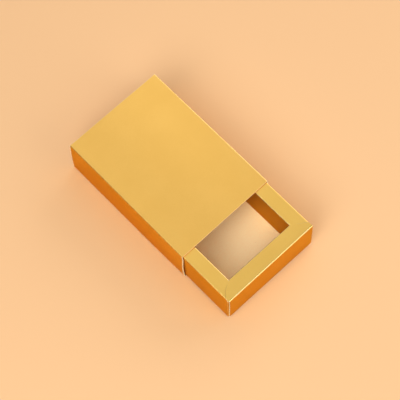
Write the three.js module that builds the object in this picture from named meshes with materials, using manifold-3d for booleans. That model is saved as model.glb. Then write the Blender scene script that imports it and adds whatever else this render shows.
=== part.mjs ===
import * as THREE from 'three';
import { mergeVertices } from 'three/addons/utils/BufferGeometryUtils.js';
import Module from 'manifold-3d';

// A matchbox-style gift box folded from two sheets of gold-faced card.
// Sizes are in millimetres. X runs across the box, the drawer slides along Y
// and opens towards -Y, and Z is up. The origin is the middle of the sleeve's underside.

// Card
const cardThickness = 0.45;
const creaseInsideRadius = 0.3;

// Sleeve
const sleeveLength = 90;
const sleeveWidth = 63.5;
const sleeveHeight = 27.5;
const softFoldInsideRadius = 1.55; // the two lower folds are left round
const seamSetback = 1; // the bottom panel's free edge stops short of the right side
const glueFlapWidth = 12;
const glueFlapTaper = 4; // cut off each end of the glue flap along its free edge

// Drawer, a tray with hollow walls
const sideClearance = 0.5;
const topClearance = 0.7;
const floorClearance = 0.3; // between the drawer and the glue flap that it slides on
const endSetback = 0.3; // the drawer is shorter than the sleeve by this much at each end
const rimWidth = 8.6; // from the wall's outer face to the edge of the opening
const rimEarLength = 3.2; // the end rims run straight back this far before their mitres start
const mitreGap = 0.2;
const innerWallEndGap = 0.15;
const footEdgeGap = 2; // between a foot's free edge and the outer wall
const footTaper = 4;
const tabWidth = 7;
const tabTaper = 1.6;
const tabRelief = 0.6; // the corner tabs stop this far short of the creases above and below

// Pose: how far the drawer stands out of the sleeve
const drawnOut = 35;

// Making
const arcSteps = 3; // each quarter fold has twice as many facets
const cutOverrun = 1;

// What follows from the sizes
const creaseRadius = creaseInsideRadius + cardThickness;
const softFoldRadius = softFoldInsideRadius + cardThickness;
const drawerWidth = sleeveWidth - 2 * (cardThickness + sideClearance);
const drawerLength = sleeveLength - 2 * endSetback;
const drawerBottom = 2 * cardThickness + floorClearance;
const drawerTop = sleeveHeight - cardThickness - topClearance;
const baseTop = drawerBottom + cardThickness;
// A mitre runs from the end of the ear, on the drawer's outer face, to the opening's corner.
const mitreRise = rimWidth - rimEarLength;
const mitreSetback = mitreGap / 2 * Math.hypot(rimWidth, mitreRise) / rimWidth;

const goldCard = { color: 0xe2ab4f, roughness: 0.38, metalness: 0.85 };
const whiteCard = { color: 0xe8dccb, roughness: 0.85, metalness: 0 };

const wasm = await Module();
wasm.setup();

function toSolid(geometry) {
  const bare = geometry.clone();
  bare.deleteAttribute('normal');
  bare.deleteAttribute('uv');
  const merged = mergeVertices(bare);
  return new wasm.Manifold(new wasm.Mesh({
    numProp: 3,
    vertProperties: merged.attributes.position.array,
    triVerts: new Uint32Array(merged.index.array),
  }));
}

function toGeometry(solid) {
  const mesh = solid.getMesh();
  const geometry = new THREE.BufferGeometry();
  geometry.setAttribute('position', new THREE.BufferAttribute(mesh.vertProperties, 3));
  geometry.setIndex(new THREE.BufferAttribute(mesh.triVerts, 1));
  const faceted = geometry.toNonIndexed();
  faceted.computeVertexNormals();
  return faceted;
}

// Extrudes a section along Z, centred on the section's plane.
function extrudeCentred(section, length) {
  const settings = { depth: length, bevelEnabled: false, curveSegments: arcSteps };
  return new THREE.ExtrudeGeometry(section, settings).translate(0, 0, -length / 2);
}

// End view of a panel. x runs along the card, the printed face lies on y = 0 and the card
// is below it. A fold radius above zero adds a quarter fold that turns away from that face.
function panelSection(run, startFold, endFold) {
  const section = new THREE.Shape();
  section.moveTo(0, 0);
  section.lineTo(run, 0);
  if (endFold > 0) {
    section.absarc(run, -endFold, endFold, Math.PI / 2, 0, true);
    section.absarc(run, -endFold, endFold - cardThickness, 0, Math.PI / 2, false);
  } else {
    section.lineTo(run, -cardThickness);
  }
  section.lineTo(0, -cardThickness);
  if (startFold > 0) {
    section.absarc(0, -startFold, startFold - cardThickness, Math.PI / 2, Math.PI, false);
    section.absarc(0, -startFold, startFold, Math.PI, Math.PI / 2, true);
  }
  return section;
}

// End view of a quarter fold alone, about its own centre.
function foldSection(radius, startAngle) {
  const endAngle = startAngle + Math.PI / 2;
  const section = new THREE.Shape();
  section.absarc(0, 0, radius, startAngle, endAngle, false);
  section.absarc(0, 0, radius - cardThickness, endAngle, startAngle, true);
  return section;
}

// A flat sheet of card cut to an outline in X and Y. Its lower face is on z = 0.
function cutSheet(corners) {
  const outline = new THREE.Shape(corners.map(([x, y]) => new THREE.Vector2(x, y)));
  return new THREE.ExtrudeGeometry(outline, { depth: cardThickness, bevelEnabled: false });
}

function addPiece(parent, name, geometry, finish) {
  const mesh = new THREE.Mesh(geometry, new THREE.MeshStandardMaterial(finish));
  mesh.name = name;
  parent.add(mesh);
  return mesh;
}

// Stands a panel up: along is the way its section's x points, outward its printed face's.
function aim(mesh, along, outward) {
  const across = new THREE.Vector3().crossVectors(along, outward);
  mesh.quaternion.setFromRotationMatrix(new THREE.Matrix4().makeBasis(along, outward, across));
}

const up = new THREE.Vector3(0, 0, 1);
const towardsRight = new THREE.Vector3(1, 0, 0);
const towardsLeft = new THREE.Vector3(-1, 0, 0);
const towardsFront = new THREE.Vector3(0, -1, 0);
const towardsBack = new THREE.Vector3(0, 1, 0);

function makeSleeveTop(sleeve) {
  const halfWidth = sleeveWidth / 2 - creaseRadius;
  const halfLength = sleeveLength / 2;
  const panel = addPiece(sleeve, 'sleeve_top_panel', cutSheet([
    [-halfWidth, -halfLength],
    [halfWidth, -halfLength],
    [halfWidth, halfLength],
    [-halfWidth, halfLength],
  ]), goldCard);
  panel.position.z = sleeveHeight - cardThickness;
}

function makeSleeveSides(sleeve) {
  // The right side stands on the bottom panel, where the seam is, so it starts a card higher.
  const sides = [
    { name: 'left', outward: towardsLeft, foot: 0, foldStart: Math.PI },
    { name: 'right', outward: towardsRight, foot: cardThickness, foldStart: 1.5 * Math.PI },
  ];
  for (const side of sides) {
    const foldTop = side.foot + softFoldRadius;
    const run = sleeveHeight - creaseRadius - foldTop;
    const wall = extrudeCentred(panelSection(run, 0, creaseRadius), sleeveLength);
    const panel = addPiece(sleeve, `sleeve_${side.name}_side`, wall, goldCard);
    aim(panel, up, side.outward);
    panel.position.set(side.outward.x * sleeveWidth / 2, 0, foldTop);

    const bend = extrudeCentred(foldSection(softFoldRadius, side.foldStart), sleeveLength);
    const fold = addPiece(sleeve, `sleeve_lower_${side.name}_fold`, bend.rotateX(Math.PI / 2), goldCard);
    fold.position.set(side.outward.x * (sleeveWidth / 2 - softFoldRadius), 0, foldTop);
  }
}

function makeSleeveBottom(sleeve) {
  const leftEdge = -sleeveWidth / 2 + softFoldRadius;
  const rightEdge = sleeveWidth / 2 - seamSetback;
  const halfLength = sleeveLength / 2;
  addPiece(sleeve, 'sleeve_bottom_panel', cutSheet([
    [leftEdge, -halfLength],
    [rightEdge, -halfLength],
    [rightEdge, halfLength],
    [leftEdge, halfLength],
  ]), goldCard);
}

// The glue flap hangs on the lower right fold and is stuck down inside the bottom panel.
function makeGlueFlap(sleeve) {
  const foldedEdge = sleeveWidth / 2 - softFoldRadius;
  const freeEdge = foldedEdge - glueFlapWidth;
  const halfLength = sleeveLength / 2;
  const flap = addPiece(sleeve, 'sleeve_glue_flap', cutSheet([
    [freeEdge, -halfLength + glueFlapTaper],
    [foldedEdge, -halfLength],
    [foldedEdge, halfLength],
    [freeEdge, halfLength - glueFlapTaper],
  ]), whiteCard);
  flap.position.z = cardThickness;
}

function makeSleeve() {
  const sleeve = new THREE.Group();
  makeSleeveTop(sleeve);
  makeSleeveSides(sleeve);
  makeSleeveBottom(sleeve);
  makeGlueFlap(sleeve);
  return sleeve;
}

function makeBase(drawer) {
  const halfWidth = drawerWidth / 2 - creaseRadius;
  const halfLength = drawerLength / 2 - creaseRadius;
  const base = addPiece(drawer, 'drawer_base', cutSheet([
    [-halfWidth, -halfLength],
    [halfWidth, -halfLength],
    [halfWidth, halfLength],
    [-halfWidth, halfLength],
  ]), whiteCard);
  base.position.z = drawerBottom;
}

// A long wall's upper crease stops where the end rims' ears lie across the wall.
function trimUpperCrease(strip, run, wallHalf, creaseHalf) {
  const height = creaseRadius + cutOverrun;
  const depth = 2 * (creaseRadius + cutOverrun);
  const length = wallHalf - creaseHalf + cutOverrun;
  const cutter = new THREE.BoxGeometry(height, depth, length);
  cutter.translate(run + height / 2, 0, creaseHalf + length / 2);
  const farCutter = cutter.clone().translate(0, 0, -2 * creaseHalf - length);
  return toGeometry(toSolid(strip).subtract(toSolid(cutter)).subtract(toSolid(farCutter)));
}

// Each side of the drawer is drawn as the front is, with its outer face at y = -reach and
// halfSpan either way along x, and its group is then turned to where it belongs.
function makeOuterWall(side, { name, reach, wallHalf, creaseHalf }) {
  const run = drawerTop - drawerBottom - 2 * creaseRadius;
  const strip = extrudeCentred(panelSection(run, creaseRadius, creaseRadius), 2 * wallHalf);
  const wall = creaseHalf < wallHalf ? trimUpperCrease(strip, run, wallHalf, creaseHalf) : strip;
  const panel = addPiece(side, `drawer_${name}_wall`, wall, goldCard);
  aim(panel, up, towardsFront);
  panel.position.set(0, -reach, drawerBottom + creaseRadius);
}

// An end rim has an ear at each corner, which lies over the end of the long wall.
function makeEndRim(side, { name, reach, halfSpan }) {
  const outerEdge = creaseRadius;
  const innerEdge = rimWidth - creaseRadius;
  const earEnd = rimEarLength - mitreSetback;
  const innerHalf = halfSpan - rimWidth * (innerEdge - earEnd) / mitreRise;
  const rim = addPiece(side, `drawer_${name}_rim`, cutSheet([
    [-halfSpan, outerEdge],
    [halfSpan, outerEdge],
    [halfSpan, earEnd],
    [innerHalf, innerEdge],
    [-innerHalf, innerEdge],
    [-halfSpan, earEnd],
  ]), goldCard);
  rim.position.set(0, -reach, drawerTop - cardThickness);
}

// A long rim is a trapezium that fills the way from one end rim's mitre to the other's.
function makeLongRim(side, { name, reach, creaseHalf }) {
  const outerEdge = creaseRadius;
  const innerEdge = rimWidth - creaseRadius;
  const innerHalf = creaseHalf - mitreRise * (innerEdge - outerEdge) / rimWidth;
  const rim = addPiece(side, `drawer_${name}_rim`, cutSheet([
    [-creaseHalf, outerEdge],
    [creaseHalf, outerEdge],
    [innerHalf, innerEdge],
    [-innerHalf, innerEdge],
  ]), goldCard);
  rim.position.set(0, -reach, drawerTop - cardThickness);
}

function makeInnerWall(side, { name, reach, halfSpan }) {
  const halfLength = halfSpan - rimWidth - innerWallEndGap;
  const run = drawerTop - baseTop - 2 * creaseRadius;
  const wall = extrudeCentred(panelSection(run, creaseRadius, creaseRadius), 2 * halfLength);
  const panel = addPiece(side, `drawer_${name}_inner_wall`, wall, goldCard);
  aim(panel, up, towardsBack);
  panel.position.set(0, rimWidth - reach, baseTop + creaseRadius);
}

// The foot turns outwards from the inner wall and is stuck to the base inside the hollow wall.
function makeFoot(side, { name, reach, halfSpan }) {
  const foldedEdge = rimWidth - creaseRadius;
  const freeEdge = cardThickness + footEdgeGap;
  const foldedHalf = halfSpan - rimWidth - innerWallEndGap;
  const freeHalf = foldedHalf - footTaper;
  const foot = addPiece(side, `drawer_${name}_foot`, cutSheet([
    [-freeHalf, freeEdge],
    [freeHalf, freeEdge],
    [foldedHalf, foldedEdge],
    [-foldedHalf, foldedEdge],
  ]), whiteCard);
  foot.position.set(0, -reach, baseTop);
}

// A corner tab turns off the end of a long wall and is stuck behind the end wall.
// Its upper and lower edges are cut at a slant so that it slips in.
function makeCornerTab(side, { reach, wallHalf }, name, end) {
  const height = drawerTop - drawerBottom - 2 * (creaseRadius + tabRelief);
  const strip = extrudeCentred(panelSection(tabWidth, creaseRadius, 0), height);
  const start = -creaseRadius - cutOverrun;
  const outline = new THREE.Shape([
    new THREE.Vector2(start, -height / 2),
    new THREE.Vector2(0, -height / 2),
    new THREE.Vector2(tabWidth, tabTaper - height / 2),
    new THREE.Vector2(tabWidth, height / 2 - tabTaper),
    new THREE.Vector2(0, height / 2),
    new THREE.Vector2(start, height / 2),
  ]);
  const depth = 2 * (creaseRadius + cutOverrun);
  const cutter = new THREE.ExtrudeGeometry(outline, { depth, bevelEnabled: false });
  cutter.translate(0, 0, -depth / 2).rotateX(Math.PI / 2);
  const tab = addPiece(side, name, toGeometry(toSolid(strip).intersect(toSolid(cutter))), whiteCard);
  aim(tab, towardsBack, end > 0 ? towardsRight : towardsLeft);
  tab.position.set(end * (wallHalf + creaseRadius), creaseRadius - reach, (drawerTop + drawerBottom) / 2);
}

function makeDrawer() {
  const drawer = new THREE.Group();
  makeBase(drawer);
  // The end walls run the full width. The long walls stop behind them, at the tabs' folds.
  const longWallEnd = cardThickness + creaseRadius;
  const longCreaseEnd = rimEarLength + mitreSetback + mitreRise * creaseRadius / rimWidth;
  const ends = {
    halfSpan: drawerWidth / 2,
    reach: drawerLength / 2,
    wallHalf: drawerWidth / 2,
    creaseHalf: drawerWidth / 2,
    makeRim: makeEndRim,
  };
  const longs = {
    halfSpan: drawerLength / 2,
    reach: drawerWidth / 2,
    wallHalf: drawerLength / 2 - longWallEnd,
    creaseHalf: drawerLength / 2 - longCreaseEnd,
    makeRim: makeLongRim,
  };
  const sides = [
    { name: 'front', turn: 0, ...ends },
    { name: 'right', turn: 1, ...longs, tabs: { back: 1, front: -1 } },
    { name: 'back', turn: 2, ...ends },
    { name: 'left', turn: 3, ...longs, tabs: { front: 1, back: -1 } },
  ];
  for (const place of sides) {
    const side = new THREE.Group();
    side.rotation.z = place.turn * Math.PI / 2;
    drawer.add(side);
    makeOuterWall(side, place);
    place.makeRim(side, place);
    makeInnerWall(side, place);
    makeFoot(side, place);
    for (const [endName, end] of Object.entries(place.tabs ?? {})) {
      makeCornerTab(side, place, `drawer_${endName}_${place.name}_tab`, end);
    }
  }
  return drawer;
}

const box = new THREE.Group();
box.add(makeSleeve());
const drawer = makeDrawer();
drawer.position.y = -drawnOut;
box.add(drawer);

export default box;
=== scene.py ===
import math

import bmesh
import bpy
from mathutils import Matrix, Vector


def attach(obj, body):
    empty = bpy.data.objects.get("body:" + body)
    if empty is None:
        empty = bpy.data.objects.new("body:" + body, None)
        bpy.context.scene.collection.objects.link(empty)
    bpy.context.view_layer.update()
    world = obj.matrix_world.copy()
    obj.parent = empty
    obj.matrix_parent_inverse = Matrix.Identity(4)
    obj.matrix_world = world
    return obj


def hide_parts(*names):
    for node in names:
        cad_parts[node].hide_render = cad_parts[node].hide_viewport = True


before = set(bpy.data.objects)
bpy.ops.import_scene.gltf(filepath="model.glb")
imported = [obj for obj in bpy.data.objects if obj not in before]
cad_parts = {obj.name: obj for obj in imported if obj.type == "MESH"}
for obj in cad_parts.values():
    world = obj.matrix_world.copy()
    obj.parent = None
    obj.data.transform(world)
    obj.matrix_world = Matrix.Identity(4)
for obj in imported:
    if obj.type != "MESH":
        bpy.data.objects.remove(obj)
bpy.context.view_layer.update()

bpy.ops.object.select_all(action="DESELECT")

# Sizes are in metres. The sleeve is fixed, and the drawer stands out of it towards -Y.
card = 0.00045        # thickness of the board
crease = 0.0005       # outside radius of a pressed crease
tiny = 0.00002        # how close a point has to be to count as on a line
slack = 0.00005       # spare length past a bend, so that its rounding has room
hair = 0.00001        # how much smaller a tab's bend is than the strip that it rounds
sharpAngle = 40       # edges that turn by more degrees than this stay sharp
alongX, alongY, alongZ = 0, 1, 2


# A sheet of card is drawn as a plane and folded up in edit mode.
def startSheet(name, centre, size, turn=(0, 0, 0)):
    bpy.ops.object.select_all(action="DESELECT")
    bpy.ops.mesh.primitive_plane_add(size=1, location=centre, rotation=turn)
    sheet = bpy.context.object
    sheet.name = name
    sheet.data.name = name
    sheet.scale = (size[0], size[1], 1)
    bpy.ops.object.transform_apply(location=True, rotation=True, scale=True)
    bpy.ops.object.mode_set(mode="EDIT")
    bpy.ops.mesh.select_mode(type="EDGE")
    mesh = bmesh.from_edit_mesh(sheet.data)
    mesh.verts.layers.float.new("foldLine")
    bmesh.update_edit_mesh(sheet.data)
    return sheet


def near(a, b):
    return abs(a - b) < tiny


# Picks the edges whose two ends pass the test.
def pickEdges(sheet, test):
    mesh = bmesh.from_edit_mesh(sheet.data)
    for group in (mesh.faces, mesh.edges, mesh.verts):
        for part in group:
            part.select = False
    for edge in mesh.edges:
        if all(test(vert.co) for vert in edge.verts):
            edge.select_set(True)
    bmesh.update_edit_mesh(sheet.data)


# Extrudes the picked edges. What narrow holds is how the new edge is resized, and about which point.
def foldOn(sheet, test, move, narrow=None):
    pickEdges(sheet, test)
    bpy.ops.mesh.extrude_region_move(TRANSFORM_OT_translate={"value": move})
    if narrow:
        bpy.ops.transform.resize(value=narrow[0], center_override=narrow[1])


# Cuts the whole sheet at each of the places along an axis.
def cutAt(sheet, axis, places):
    normal = Vector((0, 0, 0))
    normal[axis] = 1
    for place in places:
        bpy.ops.mesh.select_all(action="SELECT")
        bpy.ops.mesh.bisect(plane_co=normal * place, plane_no=normal)


# Rounds the picked fold lines and marks the middle of each bend, where the foil wears and where a
# painted highlight is laid on.
def roundFolds(sheet, test, radius, steps, rub=1.0):
    pickEdges(sheet, test)
    bpy.ops.mesh.bevel(
        offset=radius, offset_type="OFFSET", segments=steps, profile=0.5, affect="EDGES"
    )
    mesh = bmesh.from_edit_mesh(sheet.data)
    layer = mesh.verts.layers.float["foldLine"]
    for vert in mesh.verts:
        if vert.select and all(face.select for face in vert.link_faces):
            vert[layer] = rub
    bmesh.update_edit_mesh(sheet.data)


# Moves every point by what the shape function returns for it.
def ease(sheet, shape):
    mesh = bmesh.from_edit_mesh(sheet.data)
    for vert in mesh.verts:
        vert.co += Vector(shape(vert.co))
    bmesh.update_edit_mesh(sheet.data)


# Gives the sheet the board's thickness: printed face out, plain reverse in, cut edges round it.
# The printed face is the one that points along outward at the spot.
def finishSheet(sheet, spot, outward, faces):
    bpy.ops.mesh.select_all(action="SELECT")
    bpy.ops.mesh.remove_doubles(threshold=tiny)
    bpy.ops.mesh.normals_make_consistent(inside=False)
    mesh = bmesh.from_edit_mesh(sheet.data)
    nearest = min(mesh.faces, key=lambda f: (f.calc_center_median() - Vector(spot)).length)
    if nearest.normal.dot(Vector(outward)) < 0:
        bpy.ops.mesh.flip_normals()
    bpy.ops.object.mode_set(mode="OBJECT")
    for material in faces:
        sheet.data.materials.append(material)
    thicken = sheet.modifiers.new("boardThickness", "SOLIDIFY")
    thicken.thickness = card
    thicken.offset = -1
    thicken.use_even_offset = True
    thicken.material_offset = 1
    thicken.material_offset_rim = 2
    bpy.ops.object.modifier_apply(modifier=thicken.name)
    bpy.ops.object.shade_smooth_by_angle(angle=math.radians(sharpAngle))
    weigh = sheet.modifiers.new("flatPanels", "WEIGHTED_NORMAL")
    weigh.keep_sharp = True
    weigh.weight = 60
    bpy.ops.object.modifier_apply(modifier=weigh.name)


# Shader node groups, which the faces of the board share
def startGroup(name, inputs, outputs):
    group = bpy.data.node_groups.new(name, "ShaderNodeTree")
    place = group.interface.new_socket(name="Place", in_out="INPUT", socket_type="NodeSocketVector")
    place.default_value = (0, 0, 0)
    for label, value in inputs:
        socket = group.interface.new_socket(
            name=label, in_out="INPUT", socket_type="NodeSocketFloat"
        )
        socket.default_value = value
    for label in outputs:
        group.interface.new_socket(name=label, in_out="OUTPUT", socket_type="NodeSocketFloat")
    return group, group.nodes.new("NodeGroupInput"), group.nodes.new("NodeGroupOutput")


def addNode(tree, kind, settings=None, values=None):
    node = tree.nodes.new(kind)
    for key, value in (settings or {}).items():
        setattr(node, key, value)
    for key, value in (values or {}).items():
        node.inputs[key].default_value = value
    return node


def noiseAt(tree, place, scale, detail, rough=0.5):
    values = {"Scale": scale, "Detail": detail, "Roughness": rough}
    node = addNode(tree, "ShaderNodeTexNoise", None, values)
    tree.links.new(place, node.inputs["Vector"])
    return node.outputs["Fac"]


def combine(tree, a, b, kind="ADD"):
    node = addNode(tree, "ShaderNodeMath", {"operation": kind})
    for socket, value in zip(node.inputs, (a, b)):
        if isinstance(value, (int, float)):
            socket.default_value = value
        else:
            tree.links.new(value, socket)
    return node.outputs[0]


# Eases a value from one range into another, which is 0 to 1 unless given.
def spread(tree, value, given, wanted=(0.0, 1.0)):
    values = {"From Min": given[0], "From Max": given[1], "To Min": wanted[0], "To Max": wanted[1]}
    node = addNode(tree, "ShaderNodeMapRange", {"interpolation_type": "SMOOTHSTEP"}, values)
    tree.links.new(value, node.inputs["Value"])
    return node.outputs["Result"]


# Noise scales here and below are in cycles per metre.
boardGrainLook = {
    "toothScale": 2600,
    "waveScale": 70,
    "toneScale": 55,
    "tooth": 0.5,
    "wave": 0.5,
}


# Fine tooth of pressed board, with the slow waviness of a folded panel under it.
def makeBoardGrain(look):
    shares = [("Tooth", look["tooth"]), ("Wave", look["wave"])]
    group, source, result = startGroup("boardGrain", shares, ("Height", "Tone"))
    place = source.outputs["Place"]
    tooth = noiseAt(group, place, look["toothScale"], detail=3)
    wave = noiseAt(group, place, look["waveScale"], detail=1)
    toothPart = combine(group, tooth, source.outputs["Tooth"], "MULTIPLY")
    wavePart = combine(group, wave, source.outputs["Wave"], "MULTIPLY")
    group.links.new(combine(group, toothPart, wavePart), result.inputs["Height"])
    slow = noiseAt(group, place, look["toneScale"], detail=4, rough=0.6)
    group.links.new(combine(group, slow, tooth, "MULTIPLY"), result.inputs["Tone"])
    return group


foldWearLook = {
    "patchScale": 420,
    "speckScale": 3100,
    "patchShare": 0.6,
    "speckShare": 0.4,
    "foldLift": 0.16,             # added to the noise on a fold line, where cracks start
    "liftRange": (0.35, 1.0),     # how near the fold line that is
    "crackRange": (0.64, 0.74),   # the noise at which a crack starts and is complete
    "nearFold": (0.2, 0.7),       # cracks fade out away from the fold line
    "amount": 0.5,
}


# Where the foil has cracked or rubbed along a fold line; the Rub output also places the painted
# highlight on the creases.
def makeFoldWear(look):
    inputs = [("Fold", 0.0), ("Amount", look["amount"])]
    group, source, result = startGroup("foldWear", inputs, ("Mask", "Rub"))
    place, fold = source.outputs["Place"], source.outputs["Fold"]
    patches = noiseAt(group, place, look["patchScale"], detail=3, rough=0.6)
    specks = noiseAt(group, place, look["speckScale"], detail=2)
    patchPart = combine(group, patches, look["patchShare"], "MULTIPLY")
    speckPart = combine(group, specks, look["speckShare"], "MULTIPLY")
    both = combine(group, patchPart, speckPart)
    onFold = spread(group, fold, look["liftRange"], (0.0, look["foldLift"]))
    worn = spread(group, combine(group, both, onFold), look["crackRange"])
    limited = combine(group, worn, spread(group, fold, look["nearFold"]), "MULTIPLY")
    masked = combine(group, limited, source.outputs["Amount"], "MULTIPLY")
    group.links.new(masked, result.inputs["Mask"])
    group.links.new(spread(group, fold, (0.0, 1.0)), result.inputs["Rub"])
    return group


handlingLook = {
    "smudgeScale": 38,
    "smudgeRange": (0.42, 0.68),
    "scuffTurn": 0.6,                 # radians about Z
    "scuffScale": (90, 2400, 900),    # long in X and fine in Y
    "scuffRange": (0.66, 0.76),
}


# Soft smudges and hair-fine scuffs of a box that has been handled.
def makeHandling(look):
    group, source, result = startGroup("handling", [], ("Smudge", "Scuff"))
    place = source.outputs["Place"]
    smudge = noiseAt(group, place, look["smudgeScale"], detail=4, rough=0.55)
    group.links.new(spread(group, smudge, look["smudgeRange"]), result.inputs["Smudge"])
    values = {"Rotation": (0.0, 0.0, look["scuffTurn"]), "Scale": look["scuffScale"]}
    stretch = addNode(group, "ShaderNodeMapping", {"vector_type": "POINT"}, values)
    group.links.new(place, stretch.inputs["Vector"])
    scratch = noiseAt(group, stretch.outputs["Vector"], 1.0, detail=2)
    group.links.new(spread(group, scratch, look["scuffRange"]), result.inputs["Scuff"])
    return group


paperFibreLook = {
    "warpScale": 600,
    "warpBy": 0.0006,         # how far the strands wander
    "strandScale": (700, 2600, 1400),
    "fleckScale": 1100,
    "fleckRange": (0.7, 0.76),
}


# Paper fibres and flecks of the uncoated reverse.
def makePaperFibre(look):
    group, source, result = startGroup("paperFibre", [], ("Fibre", "Fleck"))
    place = source.outputs["Place"]
    warp = addNode(group, "ShaderNodeTexNoise", None, {"Scale": look["warpScale"], "Detail": 1.0})
    group.links.new(place, warp.inputs["Vector"])
    settings = {"operation": "SCALE"}
    bend = addNode(group, "ShaderNodeVectorMath", settings, {"Scale": look["warpBy"]})
    group.links.new(warp.outputs["Color"], bend.inputs[0])
    bent = addNode(group, "ShaderNodeVectorMath", {"operation": "ADD"})
    group.links.new(place, bent.inputs[0])
    group.links.new(bend.outputs[0], bent.inputs[1])
    stretch = addNode(group, "ShaderNodeMapping", None, {"Scale": look["strandScale"]})
    group.links.new(bent.outputs[0], stretch.inputs["Vector"])
    strand = noiseAt(group, stretch.outputs["Vector"], 1.0, detail=4, rough=0.6)
    group.links.new(strand, result.inputs["Fibre"])
    fleck = noiseAt(group, place, look["fleckScale"], detail=2)
    group.links.new(spread(group, fleck, look["fleckRange"]), result.inputs["Fleck"])
    return group


boardGrain = makeBoardGrain(boardGrainLook)
foldWear = makeFoldWear(foldWearLook)
handling = makeHandling(handlingLook)
paperFibre = makePaperFibre(paperFibreLook)
print("node groups made")


# Materials: printed face, plain reverse, cut edge and rubbed edge
def startMaterial(name):
    material = bpy.data.materials.new(name)
    material.use_nodes = True
    tree = material.node_tree
    shader = tree.nodes["Principled BSDF"]
    place = addNode(tree, "ShaderNodeTexCoord").outputs["Object"]
    return material, tree, shader, place


def useGroup(tree, group, place, values=None):
    node = addNode(tree, "ShaderNodeGroup", {"node_tree": group}, values)
    tree.links.new(place, node.inputs["Place"])
    return node


def blendColours(tree, amount, first, second):
    node = addNode(tree, "ShaderNodeMix", {"data_type": "RGBA"})
    share, firstColour, secondColour, colour = 0, 6, 7, 2     # the node's sockets for colours
    for place, value in ((share, amount), (firstColour, first), (secondColour, second)):
        if isinstance(value, (tuple, float)):
            node.inputs[place].default_value = value
        else:
            tree.links.new(value, node.inputs[place])
    return node.outputs[colour]


def addBump(tree, shader, height, look):
    values = {"Strength": look["bump"], "Distance": look["bumpDepth"]}
    bump = addNode(tree, "ShaderNodeBump", None, values)
    tree.links.new(height, bump.inputs["Height"])
    tree.links.new(bump.outputs["Normal"], shader.inputs["Normal"])


goldFoil = {
    "light": (0.982, 0.581, 0.138, 1),
    "deep": (0.952, 0.553, 0.124, 1),
    "toneRange": (0.12, 0.4),
    "obliqueTint": (0.635, 0.42, 0.22, 1),   # the lacquer over the foil deepens at a slant
    # the crease colour below is partly rubbed foil and partly a painted highlight
    "rubbedHighlight": (1.0, 0.77, 0.33, 1),
    "rubbedHighlightShare": 0.5,
    "crackedBoard": (0.93, 0.74, 0.50, 1),
    "wear": 0.30,
    "tooth": 0.35,
    "wave": 0.65,
    "bump": 0.12,
    "bumpDepth": 0.00012,
    "roughness": 0.32,
    "smudgeRoughness": 0.04,
    "scuffRoughness": 0.08,
    "foldRoughness": -0.05,
}
drawerFoil = dict(
    goldFoil,
    light=(1.0, 0.622, 0.144, 1),
    deep=(0.972, 0.593, 0.130, 1),
    obliqueTint=(0.575, 0.385, 0.22, 1),
)
# The inner walls take a darker copy of the drawer's foil, far deeper at a slant: painted shade for
# the sheltered inside of the tray.
shadedInnerFoil = dict(
    drawerFoil,
    light=(0.94, 0.545, 0.13, 1),
    deep=(0.91, 0.515, 0.12, 1),
    obliqueTint=(0.17, 0.06, 0.14, 1),
)


def makeGoldFoil(name, look):
    material, tree, shader, place = startMaterial(name)
    grain = useGroup(tree, boardGrain, place, {"Tooth": look["tooth"], "Wave": look["wave"]})
    fold = addNode(tree, "ShaderNodeAttribute", {"attribute_name": "foldLine"})
    wear = useGroup(tree, foldWear, place, {"Amount": look["wear"]})
    tree.links.new(fold.outputs["Fac"], wear.inputs["Fold"])
    marks = useGroup(tree, handling, place)
    tone = spread(tree, grain.outputs["Tone"], look["toneRange"])
    foil = blendColours(tree, tone, look["deep"], look["light"])
    # Creases are mixed towards a paler gold: partly rubbed foil, partly painted highlight.
    rubAndHighlight = combine(tree, wear.outputs["Rub"], look["rubbedHighlightShare"], "MULTIPLY")
    rubbed = blendColours(tree, rubAndHighlight, foil, look["rubbedHighlight"])
    shown = blendColours(tree, wear.outputs["Mask"], rubbed, look["crackedBoard"])
    tree.links.new(shown, shader.inputs["Base Color"])
    metal = combine(tree, 1.0, wear.outputs["Mask"], "SUBTRACT")
    tree.links.new(metal, shader.inputs["Metallic"])
    smudge = combine(tree, marks.outputs["Smudge"], look["smudgeRoughness"], "MULTIPLY")
    scuff = combine(tree, marks.outputs["Scuff"], look["scuffRoughness"], "MULTIPLY")
    rub = combine(tree, wear.outputs["Rub"], look["foldRoughness"], "MULTIPLY")
    marked = combine(tree, smudge, scuff)
    total = combine(tree, marked, combine(tree, rub, look["roughness"]))
    tree.links.new(total, shader.inputs["Roughness"])
    shader.inputs["Specular Tint"].default_value = look["obliqueTint"]
    addBump(tree, shader, grain.outputs["Height"], look)
    return material


plainReverse = {
    "light": (1.0, 0.805, 0.475, 1),
    "shade": (0.99, 0.755, 0.42, 1),
    "fibreRange": (0.35, 0.65),
    "fleck": (0.80, 0.60, 0.36, 1),
    "fleckShare": 0.35,
    "tooth": 0.6,
    "wave": 0.4,
    "bump": 0.2,
    "bumpDepth": 0.0001,
    "roughness": 0.78,
    "smoothest": 0.72,
    "toneRange": (0.1, 0.4),
    "gloss": 0.3,
}


def makePlainReverse(look):
    material, tree, shader, place = startMaterial("plainReverse")
    fibre = useGroup(tree, paperFibre, place)
    grain = useGroup(tree, boardGrain, place, {"Tooth": look["tooth"], "Wave": look["wave"]})
    strands = spread(tree, fibre.outputs["Fibre"], look["fibreRange"])
    tone = blendColours(tree, strands, look["shade"], look["light"])
    flecks = combine(tree, fibre.outputs["Fleck"], look["fleckShare"], "MULTIPLY")
    flecked = blendColours(tree, flecks, tone, look["fleck"])
    tree.links.new(flecked, shader.inputs["Base Color"])
    wanted = (look["smoothest"], look["roughness"])
    rough = spread(tree, grain.outputs["Tone"], look["toneRange"], wanted)
    tree.links.new(rough, shader.inputs["Roughness"])
    shader.inputs["Specular IOR Level"].default_value = look["gloss"]
    height = combine(tree, fibre.outputs["Fibre"], grain.outputs["Height"])
    addBump(tree, shader, height, look)
    return material


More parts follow.
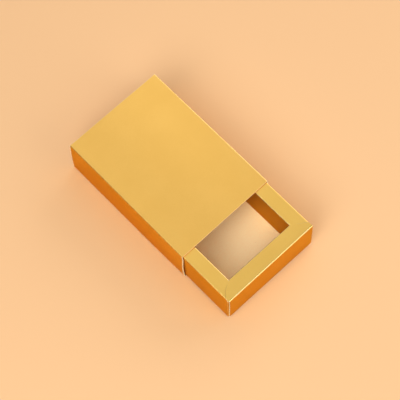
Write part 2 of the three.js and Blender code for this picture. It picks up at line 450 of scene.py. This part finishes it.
cutBoard = {
    "core": (1.0, 0.89, 0.60, 1),
    "liner": (0.98, 0.83, 0.52, 1),
    "fibreRange": (0.3, 0.7),
    "tooth": 1.0,
    "wave": 0.2,
    "bump": 0.3,
    "bumpDepth": 0.00008,
    "roughness": 0.85,
    "gloss": 0.2,
}
# The foil is pressed down and rubbed to a satin along the top of the mouth.
satinEdge = dict(
    cutBoard,
    core=(1.0, 0.66, 0.29, 1),
    liner=(1.0, 0.61, 0.25, 1),
    roughness=0.6,
)


def makeCutBoard(name, look):
    material, tree, shader, place = startMaterial(name)
    fibre = useGroup(tree, paperFibre, place)
    grain = useGroup(tree, boardGrain, place, {"Tooth": look["tooth"], "Wave": look["wave"]})
    strands = spread(tree, fibre.outputs["Fibre"], look["fibreRange"])
    tone = blendColours(tree, strands, look["liner"], look["core"])
    tree.links.new(tone, shader.inputs["Base Color"])
    shader.inputs["Roughness"].default_value = look["roughness"]
    shader.inputs["Specular IOR Level"].default_value = look["gloss"]
    addBump(tree, shader, grain.outputs["Height"], look)
    return material


# Each run of three is one kind of face: what is outside, what is inside and its cut edge.
reverse = makePlainReverse(plainReverse)
cutEdge = makeCutBoard("cutBoard", cutBoard)
satin = makeCutBoard("satinEdge", satinEdge)
sleeveFoil = makeGoldFoil("sleeveFoil", goldFoil)
outerFoil = makeGoldFoil("drawerFoil", drawerFoil)
shadedWallFoil = makeGoldFoil("shadedInnerFoil", shadedInnerFoil)
sleeveFaces = (sleeveFoil, reverse, cutEdge, cutEdge, reverse, cutEdge, satin, reverse, satin)
drawerFaces = (outerFoil, reverse, cutEdge, shadedWallFoil, reverse, cutEdge)
chippedSlot = 3       # the sleeve's chipped side edges
mouthSlot = 6         # the sleeve's top edge at the mouth
shadedWallSlot = 3         # the drawer's inner walls, which take the painted-shade foil
print("materials made")


# The sleeve is one sheet folded into a tube and closed by a glue flap inside the bottom.
sleeve = {
    "length": 0.090,
    "width": 0.0635,
    "height": 0.0275,
    "softFold": 0.0010,       # outside radius of the two lower folds
    "seamSetback": 0.001,     # the bottom's free edge stops short of the right side
    "flapWidth": 0.012,
    "flapTaper": 0.004,
    "mouthBow": 0.00085,      # the sides bow out at the mouth
    "backBow": 0.00022,       # and less at the back
    "lowerSpread": 0.00045,   # the left side stands out at its foot
    "leftTrim": 0.00008,      # the sides are set in from the nominal width
    "rightTrim": 0.00015,
    "backSkew": 0.0002,       # more trim on the left towards the back
    "mouthSkew": 0.00017,     # the mouth runs back towards the right, by twice this
    "crown": 0.00025,         # the top dips a little on each side of its middle
    "chip": 0.0003,           # bare strip on the sides' end edges
    "mouthRub": 0.00012,      # rubbed strip on the top at the mouth
    "sideProud": 0.00065,     # the left edge at the mouth stands forward
    "edgeTurn": 0.0006,       # and is turned in
    "edgeRise": 8,            # how steeply both moves come in from its ends
    "footProud": 0.0006,      # its foot stands forward by this as well
    "footCurl": 0.0007,       # the left foot curls in at the mouth
    "curlTop": 0.2,           # as far up as this share of the height
    "curlFade": 8,            # how fast that fades towards the back
    "edgeRubAndHighlight": 1.0,           # wear of the foil and painted highlight on the top's end edges
    "leftRubAndHighlight": 0.25,          # and on the left top crease
    "cutsAcross": (-0.024, -0.016, -0.008, 0, 0.008, 0.016, 0.024),
    "cutsAlong": (-0.036, -0.024, -0.012, 0, 0.012, 0.024, 0.036),
    "cutsUp": (0.0028, 0.0055, 0.009, 0.013, 0.017, 0.021, 0.0245),
}


# How the folded card has sprung out of square, as a move for each point.
def sleeveEase(co):
    half, height, length = sleeve["width"] / 2, sleeve["height"], sleeve["length"]
    up = min(max(co.z / height, 0), 1)
    toBack = co.y / length + 0.5
    onLeft = co.x < 0
    atProudEdge = co.y < -length / 2 + sleeve["chip"] + tiny
    skew = sleeve["leftTrim"] + sleeve["backSkew"] * toBack if onLeft else -sleeve["rightTrim"]
    back = sleeve["mouthSkew"] * (1 + co.x / half) * (1 - toBack)
    if abs(co.x) < half - sleeve["softFold"] - 2 * slack:
        onTop = co.z > height / 2
        if atProudEdge and not onTop:
            back -= (sleeve["sideProud"] + sleeve["footProud"]) * (half - co.x) / (2 * half)
        drop = sleeve["crown"] * (co.x / half) ** 2 if onTop else 0
        return (skew * abs(co.x) / half, back, -drop)
    bow = sleeve["mouthBow"] * (1 - toBack) + sleeve["backBow"] * toBack
    out = bow * math.sin(math.pi * up)
    if onLeft:
        curl = max(0, 1 - up / sleeve["curlTop"]) ** 2 * (1 - toBack) ** sleeve["curlFade"]
        out += sleeve["lowerSpread"] * (1 - up) - sleeve["footCurl"] * curl
        if near(co.y, -length / 2):
            out -= sleeve["edgeTurn"] * min(1, sleeve["edgeRise"] * up * (1 - up))
        if atProudEdge:
            back -= sleeve["sideProud"] * min(1, sleeve["edgeRise"] * (1 - up))
            back -= sleeve["footProud"] * (1 - up) ** 2
    return (skew - out if onLeft else skew + out, back, 0)


def makeSleeve():
    half, height, length = sleeve["width"] / 2, sleeve["height"], sleeve["length"]
    soft, frontEnd = sleeve["softFold"], -length / 2
    edge = half - sleeve["seamSetback"]
    flapStart = half - soft - slack
    flapEnds = (1, 1 - 2 * sleeve["flapTaper"] / length, 1)
    sheet = startSheet("sleeveCard", ((edge - half) / 2, 0, 0), (edge + half, length))
    foldOn(sheet, lambda c: near(c.x, -half) and near(c.z, 0), (0, 0, height))
    foldOn(sheet, lambda c: near(c.x, -half) and near(c.z, height), (2 * half, 0, 0))
    foldOn(sheet, lambda c: near(c.x, half) and near(c.z, height), (0, 0, card - height))
    foldOn(sheet, lambda c: near(c.x, half) and near(c.z, card), (flapStart - half, 0, 0))
    foldOn(
        sheet,
        lambda c: near(c.x, flapStart) and near(c.z, card),
        (-sleeve["flapWidth"], 0, 0),
        (flapEnds, (0, 0, 0)),
    )
    leftRubAndHighlight = sleeve["leftRubAndHighlight"]
    roundFolds(sheet, lambda c: near(c.x, -half) and near(c.z, height), crease, steps=5, rub=leftRubAndHighlight)
    roundFolds(sheet, lambda c: near(c.x, half) and near(c.z, height), crease, steps=5)
    roundFolds(sheet, lambda c: near(c.x, -half) and near(c.z, 0), soft, steps=6)
    roundFolds(sheet, lambda c: near(c.x, half) and near(c.z, card), soft, steps=6)
    chipped = length / 2 - sleeve["chip"]
    rubbed = frontEnd + sleeve["mouthRub"]
    cutAt(sheet, alongZ, sleeve["cutsUp"])
    cutAt(sheet, alongY, sleeve["cutsAlong"])
    cutAt(sheet, alongX, sleeve["cutsAcross"])
    cutAt(sheet, alongY, (chipped, -chipped, rubbed))
    mesh = bmesh.from_edit_mesh(sheet.data)
    layer = mesh.verts.layers.float["foldLine"]
    for face in mesh.faces:
        spot = face.calc_center_median()
        if abs(spot.y) > chipped and abs(spot.x) > half - crease / 2:
            face.material_index = chippedSlot
        elif spot.y < rubbed and spot.z > height / 2:
            face.material_index = mouthSlot
    for vert in mesh.verts:
        if near(abs(vert.co.y), length / 2) and near(vert.co.z, height):
            vert[layer] = sleeve["edgeRubAndHighlight"]
    bmesh.update_edit_mesh(sheet.data)
    ease(sheet, sleeveEase)
    finishSheet(sheet, (0, 0, height), (0, 0, 1), sleeveFaces)
    return sheet


sleeveCard = makeSleeve()
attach(sleeveCard, "sleeve")
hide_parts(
    "sleeve_top_panel", "sleeve_left_side", "sleeve_lower_left_fold", "sleeve_right_side",
    "sleeve_lower_right_fold", "sleeve_bottom_panel", "sleeve_glue_flap",
)
print("sleeve folded")


# The drawer is a tray with hollow walls. Each side is folded as the front is and then turned.
drawer = {
    "width": 0.0620,
    "length": 0.0894,
    "bottom": 0.0012,
    "top": 0.02665,
    "drawnOut": 0.035,
    "longRim": 0.0087,        # width of the long walls' rims
    "endRim": 0.0089,         # and of the end walls' rims
    "shortEar": 0.0011,       # the bent seams start this far from their corners
    "ear": 0.0032,            # and the straight ones this far
    "seam": ((0.0008, 0.0032), (0.0030, 0.0058)),     # points of the bend, across and along
    "footEdge": 0.00245,      # from the outer wall to a foot's free edge
    "footTaper": 0.004,
    "lip": 0.0010,            # the strip of the base that belongs to each wall
    "tabWidth": 0.007,
    "tabTaper": 0.0016,
    "tabRelief": 0.0006,      # the tabs stop this far short of the creases
    "underEar": 0.00047,      # a long wall's ends are lowered under the end rims' ears
    "endWallShort": 0.0007,   # an end wall stops short of the corner
    "endWallProud": 0.0001,   # or stands past it, at its other end
    "endWallLean": 0.00035,   # the end walls lean out at the top
    "leanFade": 0.7,          # and less by this share at one end
    "frontCrease": 0.0008,    # outside radius of the end walls' top creases
    "rimTilt": 0.00015,       # the end rims dip outwards and the long ones inwards
    "longWallBow": 0.00032,   # the long walls bow out
    "longRubAndHighlight": 0.55,          # wear of the foil and painted highlight on the long walls' top creases
    "cutsAlong": (-0.034, -0.023, -0.012, 0, 0.012, 0.023, 0.034),
    "cutsUp": (0.005, 0.009, 0.013, 0.017, 0.021),
}


# The stretch from low to high becomes the stretch from newLow to newHigh by one resize.
def stretchTo(low, high, newLow, newHigh):
    share = (newHigh - newLow) / (high - low)
    centre = 0 if near(share, 1) else (newLow - share * low) / (1 - share)
    return ((share, 1, 1), (centre, 0, 0))


# The way that every wall is folded: lip, outer wall, rim, inner wall, foot.
# A row of the rim is its depth from the outer wall and its two ends along the wall.
def foldWall(sheet, reach, rimRows, innerHalf, outerCrease, rub):
    top, bottom = drawer["top"], drawer["bottom"]
    outerLow, outerHigh = rimRows[0][1:]
    foldOn(sheet, lambda c: near(c.z, bottom), (0, drawer["lip"], 0))
    for (before, low, high), (depth, newLow, newHigh) in zip(rimRows, rimRows[1:]):
        here = before - reach
        foldOn(
            sheet,
            lambda c: near(c.y, here) and near(c.z, top) and low - tiny < c.x < high + tiny,
            (0, depth - before, 0),
            stretchTo(low, high, newLow, newHigh),
        )
    rim = rimRows[-1][0]
    inner = rim - reach
    baseTop = bottom + card
    footEnds = ((innerHalf - drawer["footTaper"]) / innerHalf, 1, 1)

    def onOuterTop(c):
        onTop = near(c.y, -reach) and near(c.z, top)
        return onTop and outerLow - tiny < c.x < outerHigh + tiny

    foldOn(sheet, lambda c: near(c.y, inner) and near(c.z, top), (0, 0, baseTop - top))
    foldOn(
        sheet,
        lambda c: near(c.y, inner) and near(c.z, baseTop),
        (0, drawer["footEdge"] - rim, 0),
        (footEnds, (0, 0, 0)),
    )
    roundFolds(sheet, lambda c: near(c.y, -reach) and near(c.z, bottom), crease, steps=4)
    roundFolds(sheet, onOuterTop, outerCrease, steps=6, rub=rub)
    roundFolds(sheet, lambda c: near(c.y, inner) and near(c.z, top), crease, steps=5)
    roundFolds(sheet, lambda c: near(c.y, inner) and near(c.z, baseTop), crease, steps=4)
    mesh = bmesh.from_edit_mesh(sheet.data)
    for face in mesh.faces:
        # The inner walls' faces get the darker foil that paints the tray's shade.
        if all(near(vert.co.y, inner) for vert in face.verts):
            face.material_index = shadedWallSlot
    bmesh.update_edit_mesh(sheet.data)


# An outer wall stands on the -Y side, with its middle over the origin.
def startWall(name, reach, half):
    bottom, top = drawer["bottom"], drawer["top"]
    centre = (0, -reach, (bottom + top) / 2)
    return startSheet(name, centre, (2 * half, top - bottom), (math.pi / 2, 0, 0))


def finishWall(sheet, reach):
    middle = (drawer["bottom"] + drawer["top"]) / 2
    finishSheet(sheet, (0, -reach, middle), (0, -1, 0), drawerFaces)
    return sheet


def shareUp(co):
    return (co.z - drawer["bottom"]) / (drawer["top"] - drawer["bottom"])


def endWallEase(co):
    half, reach = drawer["width"] / 2, drawer["length"] / 2
    up = max(0, shareUp(co))
    outer = max(0, 1 - (co.y + reach) / drawer["endRim"])
    atEnd = co.x > half - 2 * crease and co.y < -reach + drawer["shortEar"] + tiny
    stretch = half + drawer["endWallProud"] - co.x if atEnd else 0
    lean = drawer["endWallLean"] * (1 - drawer["leanFade"] * max(0, co.x / half) ** 3)
    return (stretch, -lean * up * outer, -drawer["rimTilt"] * up * outer)


def longWallEase(co):
    half, reach = drawer["length"] / 2, drawer["width"] / 2
    up = shareUp(co)
    inward = min(1, max(0, (co.y + reach) / drawer["longRim"]))
    bow = 0
    if near(co.y, -reach) and 0 < up < 1:
        bow = drawer["longWallBow"] * math.sin(math.pi * up) * max(0, 1 - (co.x / half) ** 2)
    return (0, -bow, -drawer["rimTilt"] * max(0, up) * inward)


# A corner seam runs in a bend at one end of a wall and straight from the ear at the other.
def seamAcross(along):
    return max(0, along - drawer["ear"]) / (drawer["endRim"] - drawer["ear"]) * drawer["longRim"]


def seamAlong(across):
    return drawer["ear"] + across / drawer["longRim"] * (drawer["endRim"] - drawer["ear"])


# The front and back: the wall stops short of one corner and stands a little proud at the other.
def makeEndWall():
    half, reach = drawer["width"] / 2, drawer["length"] / 2
    innerHalf = half - drawer["longRim"]
    wallHalf = half - drawer["endWallShort"]
    rimRows = [(0, -wallHalf, wallHalf), (drawer["shortEar"], -half, half)]
    for across, along in drawer["seam"]:
        rimRows.append((along, across - half, half - seamAcross(along)))
    rimRows.append((drawer["endRim"], -innerHalf, innerHalf))
    sheet = startWall("drawerFrontFold", reach, wallHalf)
    foldWall(sheet, reach, rimRows, innerHalf, drawer["frontCrease"], rub=1.0)
    ease(sheet, endWallEase)
    return finishWall(sheet, reach)


# A long wall's rim starts short of its ends, where the end rims' ears lie over it.
def makeLongWall():
    half, reach = drawer["length"] / 2, drawer["width"] / 2
    wallHalf = half - card - crease
    rimLow, rimHigh = drawer["ear"] - half, half - drawer["shortEar"]
    innerHalf = half - drawer["endRim"]
    rimRows = [(0, rimLow, rimHigh)]
    for across, along in drawer["seam"]:
        rimRows.append((across, seamAlong(across) - half, half - along))
    rimRows.append((drawer["longRim"], -innerHalf, innerHalf))
    bottom, top = drawer["bottom"], drawer["top"]
    low, high = bottom + crease + drawer["tabRelief"], top - crease - drawer["tabRelief"]
    sheet = startWall("drawerLeftFold", reach, wallHalf)
    cutAt(sheet, alongZ, (low, high, *drawer["cutsUp"]))
    cutAt(sheet, alongX, (*drawer["cutsAlong"], rimLow, rimHigh))
    lowerEnds(sheet, rimLow, rimHigh, high)
    addTabs(sheet, reach, wallHalf, low, high)
    foldWall(sheet, reach, rimRows, innerHalf, crease, drawer["longRubAndHighlight"])
    ease(sheet, longWallEase)
    return finishWall(sheet, reach)


# Cuts the two ends of a long wall's top strip free of its middle and lowers them.
def lowerEnds(sheet, rimLow, rimHigh, high):
    top = drawer["top"]
    pickEdges(sheet, lambda c: (near(c.x, rimLow) or near(c.x, rimHigh)) and c.z > high - tiny)
    bpy.ops.mesh.edge_split(type="EDGE")
    mesh = bmesh.from_edit_mesh(sheet.data)
    for face in mesh.faces:
        spot = face.calc_center_median()
        if not rimLow < spot.x < rimHigh and spot.z > high:
            for vert in face.verts:
                if near(vert.co.z, top):
                    vert.co.z = top - drawer["underEar"]
    bmesh.update_edit_mesh(sheet.data)


# Corner tabs go in behind the end walls.
def addTabs(sheet, reach, wallHalf, low, high):
    cornerX = wallHalf + crease
    tabEnds = (1, 1, 1 - 2 * drawer["tabTaper"] / (high - low))
    for side in (-1, 1):
        wallEnd = side * wallHalf
        foldOn(
            sheet,
            lambda c: near(c.x, wallEnd) and low - tiny < c.z < high + tiny,
            (side * crease, 0, 0),
        )
    for side in (-1, 1):
        corner = side * cornerX
        foldOn(
            sheet,
            lambda c: near(c.x, corner),
            (0, drawer["tabWidth"] + crease, 0),
            (tabEnds, (0, 0, (low + high) / 2)),
        )
    atCorner = crease - hair
    roundFolds(sheet, lambda c: near(abs(c.x), cornerX) and near(c.y, -reach), atCorner, steps=5)


# Turns a side to its place round the drawer by quarter turns and fixes it in its mesh.
def placeSide(side, turns):
    bpy.ops.object.select_all(action="DESELECT")
    side.select_set(True)
    bpy.context.view_layer.objects.active = side
    side.rotation_euler = (0, 0, turns * math.pi / 2)
    side.location = (0, -drawer["drawnOut"], 0)
    bpy.ops.object.transform_apply(location=True, rotation=True, scale=True)


def copySide(side, name):
    copy = side.copy()
    copy.data = side.data.copy()
    copy.name = name
    copy.data.name = name
    bpy.context.collection.objects.link(copy)
    return copy


drawerBase = {
    "cutsAcross": (-0.0165, 0, 0.0165),
    "cutsAlong": (-0.060, -0.048, -0.035, -0.022, -0.010),
}


def makeBaseSheet():
    width = drawer["width"] - 2 * drawer["lip"]
    length = drawer["length"] - 2 * drawer["lip"]
    centre = (0, -drawer["drawnOut"], drawer["bottom"])
    sheet = startSheet("drawerBaseSheet", centre, (width, length))
    cutAt(sheet, alongX, drawerBase["cutsAcross"])
    cutAt(sheet, alongY, drawerBase["cutsAlong"])
    finishSheet(sheet, centre, (0, 0, -1), drawerFaces)
    return sheet


frontFold = makeEndWall()
leftFold = makeLongWall()
backFold = copySide(frontFold, "drawerBackFold")
rightFold = copySide(leftFold, "drawerRightFold")
tabsOf = {
    "left": ("drawer_front_left_tab", "drawer_back_left_tab"),
    "right": ("drawer_front_right_tab", "drawer_back_right_tab"),
}
sidesInTurn = ((frontFold, "front"), (rightFold, "right"), (backFold, "back"), (leftFold, "left"))
for turns, (side, name) in enumerate(sidesInTurn):
    placeSide(side, turns)
    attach(side, "drawer")
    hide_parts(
        *(f"drawer_{name}_{part}" for part in ("wall", "rim", "inner_wall", "foot")),
        *tabsOf.get(name, ()),
    )
print("drawer sides folded")

baseSheet = makeBaseSheet()
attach(baseSheet, "drawer")
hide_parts("drawer_base")
print("drawer base laid")


# The camera comes from the vanishing lines of the box in the photograph. Angles are in degrees.
camera = {
    "azimuth": -39.95,
    "elevation": 67.384,
    "roll": -3.633,
    "distance": 0.90933,
    "right": 0.016557,        # how far the view's centre is moved
    "up": -0.009186,
    "focalPixels": 1631.67,
    "imagePixels": 400,
    "sensor": 36,             # width in millimetres
    "clipStart": 0.01,
}


def makeCamera():
    azimuth = math.radians(camera["azimuth"])
    elevation = math.radians(camera["elevation"])
    roll = math.radians(camera["roll"])
    level = math.cos(elevation)
    back = Vector((math.sin(azimuth) * level, -math.cos(azimuth) * level, math.sin(elevation)))
    right = Vector((0, 0, 1)).cross(back).normalized()
    up = back.cross(right)
    tiltedRight = right * math.cos(roll) + up * math.sin(roll)
    tiltedUp = up * math.cos(roll) - right * math.sin(roll)
    where = back * camera["distance"] + tiltedRight * camera["right"] + tiltedUp * camera["up"]
    bpy.ops.object.camera_add()
    shot = bpy.context.object
    shot.name = "photoCamera"
    turn = Matrix((tiltedRight, tiltedUp, back)).transposed().to_4x4()
    shot.matrix_world = Matrix.Translation(where) @ turn
    shot.data.sensor_width = camera["sensor"]
    shot.data.lens = camera["sensor"] * camera["focalPixels"] / camera["imagePixels"]
    shot.data.clip_start = camera["clipStart"]
    bpy.context.scene.camera = shot


makeCamera()
print("camera set")


floor = {
    "size": 8,
    "drop": 0.00005,          # below the underside, so that the two don't share a plane
    "colour": (0.827, 0.50, 0.257, 1),
    "roughness": 0.9,
    "gloss": 0.1,
}


def makeFloor():
    bpy.ops.mesh.primitive_plane_add(size=floor["size"], location=(0, 0, -floor["drop"]))
    ground = bpy.context.object
    ground.name = "paleFloor"
    material = bpy.data.materials.new("paleFloor")
    material.use_nodes = True
    shader = material.node_tree.nodes["Principled BSDF"]
    shader.inputs["Base Color"].default_value = floor["colour"]
    shader.inputs["Roughness"].default_value = floor["roughness"]
    shader.inputs["Specular IOR Level"].default_value = floor["gloss"]
    ground.data.materials.append(material)


light = {
    "dimSide": (0.03, 0.03, 0.03, 1),
    "brightSide": (0.50, 0.50, 0.50, 1),
    "brightFrom": (0.304, 0.434, 0.848),
    "brightRange": (0.3, 1.0),            # cosine of the angle from there
    "lamps": {
        "keyLamp": {"from": (-0.780, -0.284, 0.722), "size": (0.72, 0.51), "watts": 4.9},
        "overLamp": {"from": (-0.468, -0.218, 0.971), "size": (0.89, 0.59), "watts": 4.7},
        "backHighLamp": {"from": (0.122, 0.211, 0.548), "size": (0.44, 0.44), "watts": 0.14},
        "backLowLamp": {"from": (0.325, 0.273, 0.424), "size": (0.39, 0.39), "watts": 0.205},
        "rightLamp": {"from": (0.978, -0.068, 0.499), "size": (1.48, 0.80), "watts": 6.2},
        "frontLamp": {"from": (0.279, -0.911, 0.550), "size": (0.72, 0.80), "watts": 3.1},
    },
}


def makeWorld():
    world = bpy.context.scene.world or bpy.data.worlds.new("softRoom")
    bpy.context.scene.world = world
    world.use_nodes = True
    tree = world.node_tree
    backdrop = tree.nodes["Background"]
    direction = addNode(tree, "ShaderNodeTexCoord").outputs["Generated"]
    facing = addNode(tree, "ShaderNodeVectorMath", {"operation": "DOT_PRODUCT"})
    facing.inputs[1].default_value = Vector(light["brightFrom"]).normalized()
    tree.links.new(direction, facing.inputs[0])
    share = spread(tree, facing.outputs["Value"], light["brightRange"])
    room = blendColours(tree, share, light["dimSide"], light["brightSide"])
    tree.links.new(room, backdrop.inputs["Color"])


def makeLamp(name, lamp):
    bpy.ops.object.light_add(type="AREA", location=lamp["from"])
    made = bpy.context.object
    made.name = name
    made.data.shape = "ELLIPSE"
    made.data.size, made.data.size_y = lamp["size"]
    made.data.energy = lamp["watts"]
    made.rotation_euler = (-Vector(lamp["from"])).to_track_quat("-Z", "Y").to_euler()


makeFloor()
makeWorld()
for name, lamp in light["lamps"].items():
    makeLamp(name, lamp)
bpy.context.scene.view_settings.view_transform = "Standard"
print("floor and light set")
